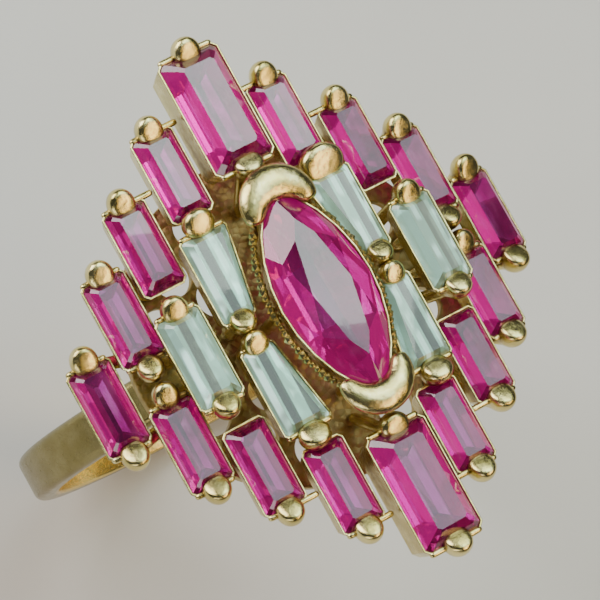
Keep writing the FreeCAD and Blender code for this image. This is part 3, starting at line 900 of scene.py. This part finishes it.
# %% [markdown]
# ## Stones
# The baguettes keep their step cut from the model, where every facet is already a flat face. The
# marquise is a brilliant cut, so here it is cut as a lapidary cuts it: a tall block with the
# stone's outline is ground flat, one facet after another, each facet being one plane. Main facets
# come first and make the table's corners. A star facet then takes off each corner of the table, and
# a pair of small facets below each star brings the crown down to the girdle.

# %% Grinding a facet
def grind(shape, point, normal):
    """Cuts away everything beyond a plane and closes the cut with one flat facet."""
    parts = shape.verts[:] + shape.edges[:] + shape.faces[:]
    cut = bmesh.ops.bisect_plane(shape, geom=parts, dist=1e-5, plane_co=point, plane_no=normal,
                                 clear_outer=True)
    edges = [item for item in cut["geom_cut"] if isinstance(item, bmesh.types.BMEdge)]
    rim = [edge for edge in edges if edge.is_boundary]
    if rim:
        bmesh.ops.contextual_create(shape, geom=rim)
    bmesh.ops.remove_doubles(shape, verts=shape.verts, dist=1e-4)


def plane_through(first, second, third, out):
    """The unit normal of the plane through three points, on the side that an outward vector is on."""
    normal = (second - first).cross(third - first).normalized()
    return normal if normal.dot(out) > 0 else -normal


def support(outline, azimuth):
    """The point of an outline that lies furthest along a direction."""
    along = Vector((math.cos(azimuth), math.sin(azimuth)))
    return max((Vector(spot) for spot in outline), key=lambda spot: spot.dot(along))


# %% Cutting one side of a brilliant
MAIN_AZIMUTHS = [math.radians(turn) for turn in (0, 33, 90, 147, 180, 213, 270, 327)]
TOO_NEAR = 0.2
OUTWARD_RISE = 2


def outwards(point, sign):
    """A direction that leads out of the stone at a point of its crown or pavilion."""
    return Vector((point.x, point.y, sign * OUTWARD_RISE))


def cut_mains(shape, outline, girdle, sign, slopes):
    """Cuts the main facets, each through one point of the girdle, and returns those points."""
    mains = []
    for azimuth, slope in zip(MAIN_AZIMUTHS, slopes):
        spot = support(outline, azimuth)
        normal = Vector((math.cos(azimuth) * math.sin(slope), math.sin(azimuth) * math.sin(slope),
                         sign * math.cos(slope)))
        touch = Vector((spot.x, spot.y, girdle))
        mains.append(touch)
        grind(shape, touch, normal)
    return mains


def cut_brilliant(shape, outline, girdle, sign, slopes, reach, ridge_share, stars):
    """Cuts the crown (sign 1) or the pavilion (sign -1) of a brilliant from a block."""
    mains = cut_mains(shape, outline, girdle, sign, slopes)
    grind(shape, Vector((0, 0, girdle + sign * reach)), Vector((0, 0, sign)))
    flat_top = max(shape.faces, key=lambda face: sign * face.calc_center_median().z)
    ring = [vert.co.copy() for vert in flat_top.verts]
    ridges = []
    for vert in flat_top.verts:
        below = [edge.other_vert(vert).co for edge in vert.link_edges if flat_top not in edge.link_faces]
        ridges.append(vert.co.lerp(below[0], ridge_share) if below else None)
    planes = []
    for i, (corner, ridge) in enumerate(zip(ring, ridges)):
        if ridge is None:
            continue
        before = (ring[i - 1] + corner) / 2
        after = (corner + ring[(i + 1) % len(ring)]) / 2
        if stars:
            planes.append((ridge, plane_through(before, after, ridge, outwards(corner, sign))))
        azimuth = math.atan2(ridge.y, ridge.x)
        edge = min(outline, key=lambda spot: abs(math.atan2(spot[1], spot[0]) - azimuth))
        gap = Vector((edge[0], edge[1], girdle))
        for touch in sorted(mains, key=lambda touch: (touch - gap).length)[:2]:
            if (touch - gap).length > TOO_NEAR:
                planes.append((ridge, plane_through(ridge, gap, touch, outwards(ridge, sign))))
    for point, normal in planes:
        grind(shape, point, normal)


print("ready to cut")

# %% Marquise
MARQUISE_SIDES = 18
MARQUISE_GIRDLE = 0.1
KEEL_SHARE = 0.98


def smooth_marquise(half_width, half_length):
    """Two arcs that meet in points, as many short sides."""
    radius = (half_length ** 2 + half_width ** 2) / (2 * half_width)
    spread = math.asin(half_length / radius)
    turns = [spread * (2 * i / MARQUISE_SIDES - 1) for i in range(MARQUISE_SIDES)]
    arc = [(radius * math.cos(turn) - radius + half_width, radius * math.sin(turn)) for turn in turns]
    return arc + [(-x, -y) for x, y in arc]


marquise_plan = smooth_marquise(marquise_box[1].x, marquise_reach)
body = bmesh.new()
base = body.faces.new([body.verts.new((x, y, marquise_box[0].z)) for x, y in marquise_plan])
grown = bmesh.ops.extrude_face_region(body, geom=[base])["geom"]
top = [item for item in grown if isinstance(item, bmesh.types.BMVert)]
bmesh.ops.translate(body, verts=top, vec=(0, 0, marquise_box[1].z - marquise_box[0].z))
bmesh.ops.recalc_face_normals(body, faces=body.faces)
crown_height = marquise_box[1].z - marquise_level
keel_depth = marquise_level - MARQUISE_GIRDLE - marquise_box[0].z
steep, easy = math.radians(33), math.radians(24)
crown_slopes = (steep, steep, easy, steep) * 2
cut_brilliant(body, marquise_plan, marquise_level, 1, crown_slopes, crown_height, 0.45, True)
steep, easy = math.radians(41), math.radians(24)
keel_slopes = (steep, steep, easy, steep) * 2
cut_brilliant(body, marquise_plan, marquise_level - MARQUISE_GIRDLE, -1, keel_slopes,
              keel_depth * KEEL_SHARE, 0.7, False)
bmesh.ops.recalc_face_normals(body, faces=body.faces)
print("marquise facets:", len(body.faces))
make_piece("cut_marquise", body, ruby_finish, "ruby", "marquise_ruby")

# %% Baguettes
for name, node in frame["nodes"].items():
    if "setting" in name:
        continue
    if name.startswith("ruby_"):
        node.data.materials.clear()
        node.data.materials.append(ruby_finish)
    elif name.startswith("diamond_"):
        node.data.materials.clear()
        node.data.materials.append(diamond_finish)
print("stones finished")
